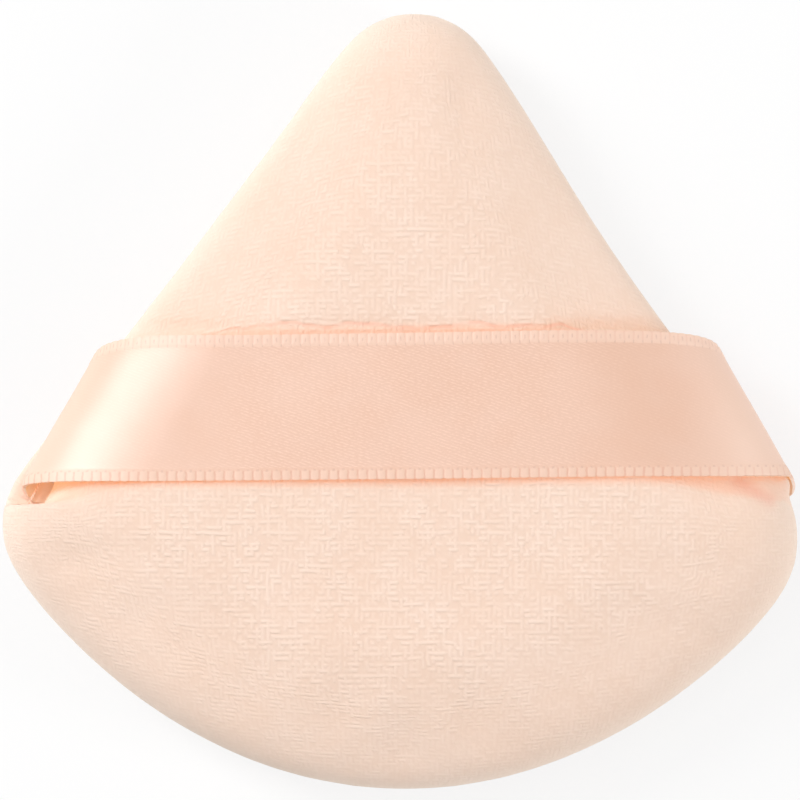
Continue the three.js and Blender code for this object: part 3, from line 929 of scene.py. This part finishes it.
# The corner outside the left fold isn't under the ribbon, so it gets no painted shade
painted_warm_shade = product(tree, ramp(tree, beside, *painted_shade_band),
                 ramp(tree, place.outputs["X"], *painted_shade_start))
wavy = noise_value(tree, stretched(tree, flat_map, 4 * mm, 40 * mm), detail=1.0)
bend_line = ramp(tree, wavy, 0.3, 0.7, *crease_band)
crease = ramp(tree, math_node(tree, "ABSOLUTE", difference(tree, above, bend_line)),
              crease_line, 0.02 * mm)
broken = noise_value(tree, stretched(tree, flat_map, 2.2 * mm, 2.2 * mm), detail=1.0)
middle = ramp(tree, math_node(tree, "ABSOLUTE", place.outputs["X"]), *crease_end)
crease = product(tree, product(tree, crease, middle),
                 ramp(tree, broken, 0.35, 0.55, 0.3, 1.0))
# Painted shade: warm orange under and beside the ribbon
colour = tinted(tree, colour, painted_warm_shade, 0.4, (252, 190, 160))
# Painted shade: the crease above the ribbon is tinted pink
colour = tinted(tree, colour, crease, 0.5, (250, 184, 158))
# Painted shade: the short crease at the ribbon's right end is tinted darker
pulled_crease_shade = node(tree, "Attribute", attribute_name="pulled_crease_shade").outputs["Fac"]
colour = tinted(tree, colour, pulled_crease_shade, 0.55, (236, 176, 156))
# Painted sheen: the rims are painted paler where the surface turns away from the view
facing = node(tree, "LayerWeight", {"Blend": 0.35}).outputs["Facing"]
colour = tinted(tree, colour, facing, 0.75, (255, 241, 227))
tree.links.new(colour, shader.inputs["Base Color"])
height = math_node(tree, "MULTIPLY_ADD", fuzz, 0.35, nap)
height = math_node(tree, "MULTIPLY_ADD", crease, -0.6, height)
relief(tree, shader, height, 1.0, 0.07 * mm)
shader.inputs["Roughness"].default_value = 0.95
shader.inputs["Specular IOR Level"].default_value = 0.15
shader.inputs["Sheen Weight"].default_value = 0.2
shader.inputs["Sheen Roughness"].default_value = 0.45
shader.inputs["Sheen Tint"].default_value = linear(255, 236, 220)
print("Velour:", len(tree.nodes), "nodes")

# %% [markdown]
# ## Satin
#
# In satin the lengthwise threads float over several crosswise ones, in a pattern that climbs a
# step with each thread. That leaves faint slanting lines. Because nearly all threads run one way,
# light glances off in a band that lies across the ribbon: the shine is rough across the threads
# and sharp along them, which is what anisotropy means. The woven edge is matter and paler, with
# upright bars where the crossing threads turn back, and dark pin points between them.

# %% Satin
twill_pitch = 0.26 * mm
twill_slope = math.radians(20)
painted_light_span = (23 * mm, 31 * mm)
flat_weave = (12 * mm, 20 * mm)
faint_bars = (20 * mm, 30 * mm)
edge_wander = 0.3 * mm

satin, tree, shader = new_material("satin")
flat_map = node(tree, "UVMap", uv_map="ribbon").outputs["UV"]
parts = node(tree, "SeparateXYZ", {0: flat_map})
u, v = parts.outputs["X"], parts.outputs["Y"]
uneven = noise_value(tree, stretched(tree, flat_map, 0.6 * mm, 0.45 * mm))
edge = difference(tree, (ribbon_width - edge_wander) / 2, math_node(tree, "ABSOLUTE", v))
edge = math_node(tree, "MULTIPLY_ADD", uneven, edge_wander, edge)
turns = math_node(tree, "MULTIPLY_ADD", u, 2 * math.pi / loop_pitch, -0.8)
wave = math_node(tree, "COSINE", math_node(tree, "MULTIPLY_ADD", uneven, 1.6, turns))
slanted = product(tree, v, math.cos(twill_slope))
slanted = math_node(tree, "MULTIPLY_ADD", u, math.sin(twill_slope), slanted)
wander = noise_value(tree, stretched(tree, flat_map, 3 * mm, 1 * mm))
wander = product(tree, wander, 5.0)
lines = math_node(tree, "MULTIPLY_ADD", slanted, 2 * math.pi / twill_pitch, wander)
lines = math_node(tree, "MULTIPLY_ADD", math_node(tree, "SINE", lines), 0.5, 0.5)
floats = noise_value(tree, stretched(tree, flat_map, 0.32 * mm, 0.14 * mm), detail=1.0)
floats = ramp(tree, floats, 0.3, 0.7)
# The upper edge and the right end show their bars less. Over the folds the weave is smoothed out
upper = ramp(tree, v, -1 * mm, 1 * mm)
shown = product(tree, math_node(tree, "MULTIPLY_ADD", upper, -0.6, 1.0),
                ramp(tree, u, *faint_bars, 1.0, 0.5))
along = math_node(tree, "ABSOLUTE", u)
stretch = ramp(tree, along, *flat_weave, 1.0, 0.35)
woven_edge = ramp(tree, edge, selvedge_width, selvedge_width - 0.15 * mm)
outer = product(tree, ramp(tree, edge, bar_length, bar_length - 0.1 * mm), shown)
bars = product(tree, ramp(tree, wave, -0.95, -0.3), outer)
gaps = product(tree, ramp(tree, wave, -0.55, -0.95), outer)


def pin_row(level, half_height, first, last):
    """A row of dark points at one distance from the edge, where the wave is between two values."""
    off = math_node(tree, "ABSOLUTE", difference(tree, edge, level))
    return product(tree, ramp(tree, off, half_height, 0.3 * half_height),
                   ramp(tree, wave, first, last))


# Below, the pins sit at the ends of the bars. Above, they are two rows that alternate
lower_pins = product(tree, pin_row(bar_length, 0.13 * mm, 0.45, 0.85),
                     difference(tree, 1.0, upper))
upper_pins = math_node(tree, "MAXIMUM", pin_row(0.5 * mm, 0.28 * mm, 0.8, 0.97),
                       pin_row(0.95 * mm, 0.2 * mm, -0.8, -0.97))
pins = math_node(tree, "MULTIPLY_ADD", upper_pins, upper, lower_pins)
pins = product(tree, pins, ramp(tree, uneven, 0.35, 0.55, 0.4, 1.0))
weave = product(tree, product(tree, lines, floats),
                product(tree, stretch, difference(tree, 1.0, woven_edge)))

under = node(tree, "Attribute", attribute_name="under").outputs["Fac"]
colour = dyed(tree, flat_map, linear(239, 193, 167), 0.06)
# Painted light: the satin is painted paler towards each fold, standing in for the light on the
# bends
painted_fold_light = ramp(tree, along, *painted_light_span)
pale_edge = product(tree, woven_edge, upper)
for mask, amount, tone in ((painted_fold_light, 0.5, (252, 218, 196)), (weave, 0.85, (255, 214, 192)),
                           (pale_edge, 0.6, (253, 216, 194)), (bars, 0.4, (252, 216, 194)),
                           (gaps, 0.6, (233, 176, 150)), (pins, 0.45, (214, 168, 146))):
    colour = tinted(tree, colour, mask, amount, tone)
# Painted light: the underside is painted almost white, so the inside of the curl looks lit
colour = colour_mix(tree, under, colour, linear(255, 248, 236))
tree.links.new(colour, shader.inputs["Base Color"])
relief(tree, shader, weave, 0.45, 0.02 * mm)
tangent = node(tree, "Tangent", direction_type="UV_MAP", uv_map="ribbon")
tree.links.new(tangent.outputs["Tangent"], shader.inputs["Tangent"])
tree.links.new(ramp(tree, woven_edge, 0.0, 1.0, 0.48, 0.6), shader.inputs["Roughness"])
shader.inputs["IOR"].default_value = 2.35
shader.inputs["Anisotropic"].default_value = 0.55
shader.inputs["Anisotropic Rotation"].default_value = 0.25
# Satin this thin lets some light through. Its underside glows with it where light falls on the
# face, and what lies under the ribbon gets that light too, tinted peach
glowing = node(tree, "BsdfTranslucent", {"Color": linear(255, 232, 196)})
cloth = node(tree, "MixShader", {0: product(tree, under, 0.35),
                                 1: shader.outputs[0], 2: glowing.outputs[0]})
paths = node(tree, "LightPath").outputs
lit_through = math_node(tree, "MAXIMUM", paths["Is Shadow Ray"], paths["Is Diffuse Ray"])
clear = node(tree, "BsdfTransparent", {"Color": linear(255, 220, 180)})
thin = node(tree, "MixShader", {0: product(tree, lit_through, 0.8),
                                1: cloth.outputs[0], 2: clear.outputs[0]})
tree.links.new(thin.outputs[0], tree.nodes["Material Output"].inputs["Surface"])
print("Satin:", len(tree.nodes), "nodes")

# %% [markdown]
# ## Foam and thread
#
# The foam inside is made of small bubbles of different sizes, which a cell pattern gives. The
# sewing thread is two plies twisted together, so it has slanting grooves a fraction of a
# millimetre apart.

# %% Foam
bubble = 0.5 * mm

foam, tree, shader = new_material("foam")
place = node(tree, "TexCoord").outputs["Object"]
cells = node(tree, "TexVoronoi", {"Vector": stretched(tree, place, bubble, bubble, bubble),
                                  "Scale": 1.0}).outputs["Distance"]
colour = colour_mix(tree, ramp(tree, cells, 0.1, 0.6), linear(222, 205, 180),
                    linear(250, 240, 225))
tree.links.new(dyed(tree, place, colour, 0.2), shader.inputs["Base Color"])
relief(tree, shader, cells, 0.8, 0.2 * mm)
shader.inputs["Roughness"].default_value = 0.9
print("Foam:", len(tree.nodes), "nodes")

# %% Thread
thread, tree, shader = new_material("thread")
place = node(tree, "TexCoord").outputs["Object"]
plies = node(tree, "TexWave", {"Vector": stretched(tree, place, 1 * mm, 1 * mm, 1 * mm),
                               "Scale": 1.6, "Distortion": 1.5}, bands_direction="DIAGONAL")
colour = colour_mix(tree, plies.outputs["Fac"], linear(232, 186, 162), linear(249, 216, 196))
tree.links.new(dyed(tree, place, colour, 0.15), shader.inputs["Base Color"])
relief(tree, shader, plies.outputs["Fac"], 0.7, 0.05 * mm)
shader.inputs["Roughness"].default_value = 0.6
print("Thread:", len(tree.nodes), "nodes")

# %% Each piece gets its material
for piece, finish in ((front_panel, velour), (back_panel, velour), (foam_core, foam),
                      (ribbon_left, satin), (ribbon_right, satin)):
    piece.data.materials.clear()
    piece.data.materials.append(finish)
for name in ("seam_needle_thread", "seam_bobbin_thread", "closing_thread", "backtack_left",
             "backtack_right"):
    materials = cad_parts[name].data.materials
    materials.clear()
    materials.append(thread)

# %% [markdown]
# ## Floor and light
#
# The puff lies on a white table. A floor that only reflects light comes out grey, so the camera
# sees a mix of a matt white, which takes the puff's shadow, and a plain glow. A low lamp from the
# upper left puts the bright band on the left fold, a large one above lights the front, and a
# small one from the right opens the shadow side.

# %% Floor
floor_gap = 0.05 * mm
floor_glow = 0.8

bpy.ops.object.select_all(action="DESELECT")
bpy.ops.mesh.primitive_plane_add(size=3, location=(0, 0, -floor_gap))
floor = bpy.context.object
floor.name = "floor"
white, tree, shader = new_material("floor_white")
tree.nodes.remove(shader)
paths = node(tree, "LightPath").outputs
seen = math_node(tree, "MAXIMUM", paths["Is Camera Ray"], paths["Is Glossy Ray"])
seen = math_node(tree, "MAXIMUM", seen, paths["Is Transmission Ray"])
matte = node(tree, "BsdfDiffuse", {"Color": (0.9, 0.9, 0.9, 1)})
glow = node(tree, "Emission", {"Color": (1, 1, 1, 1), "Strength": 1.0})
mixed = node(tree, "MixShader", {0: product(tree, seen, floor_glow),
                                 1: matte.outputs[0], 2: glow.outputs[0]})
tree.links.new(mixed.outputs[0], tree.nodes["Material Output"].inputs["Surface"])
floor.data.materials.append(white)

# %% Lamps and world
world = bpy.data.worlds.new("studio")
bpy.context.scene.world = world
world.use_nodes = True
background = world.node_tree.nodes["Background"]
background.inputs["Color"].default_value = (1, 1, 1, 1)
background.inputs["Strength"].default_value = 0.46


def softbox(name, place, size, power):
    """A rectangular lamp that looks at the middle of the puff."""
    data = bpy.data.lights.new(name, "AREA")
    data.shape = "RECTANGLE"
    data.size, data.size_y = size
    data.energy = power
    lamp = bpy.data.objects.new(name, data)
    bpy.context.scene.collection.objects.link(lamp)
    lamp.location = place
    lamp.rotation_euler = Vector(place).to_track_quat("Z", "Y").to_euler()


softbox("key_light", place=(-0.502, 0.326, 0.451), size=(0.22, 0.52), power=3.6)
softbox("top_light", place=(-0.34, 0.2, 1.24), size=(0.8, 0.42), power=2.05)
softbox("side_light", place=(0.64, -0.18, 0.32), size=(0.2, 0.2), power=1.9)

bpy.context.scene.view_settings.view_transform = "Standard"

# %% [markdown]
# ## Tying the looks to the frame
#
# Each soft piece stands in for solids of the CAD frame, which are hidden. The panels and the foam
# ride on the puff's body; the two ribbon halves have their placing baked into their points.

for piece, nodes, slot in ((front_panel, ["front_cover"], "velour"),
                           (back_panel, ["back_cover"], "velour"),
                           (foam_core, ["foam_core"], "foam")):
    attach(piece, "puff")
    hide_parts(*nodes)

for piece, fold, nodes, length in (
        (ribbon_left, left_fold, ["strap_end_left", "strap_band"], left_length),
        (ribbon_right, right_fold, ["strap_end_right"], right_length)):
    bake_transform(piece)
    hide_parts(*nodes)
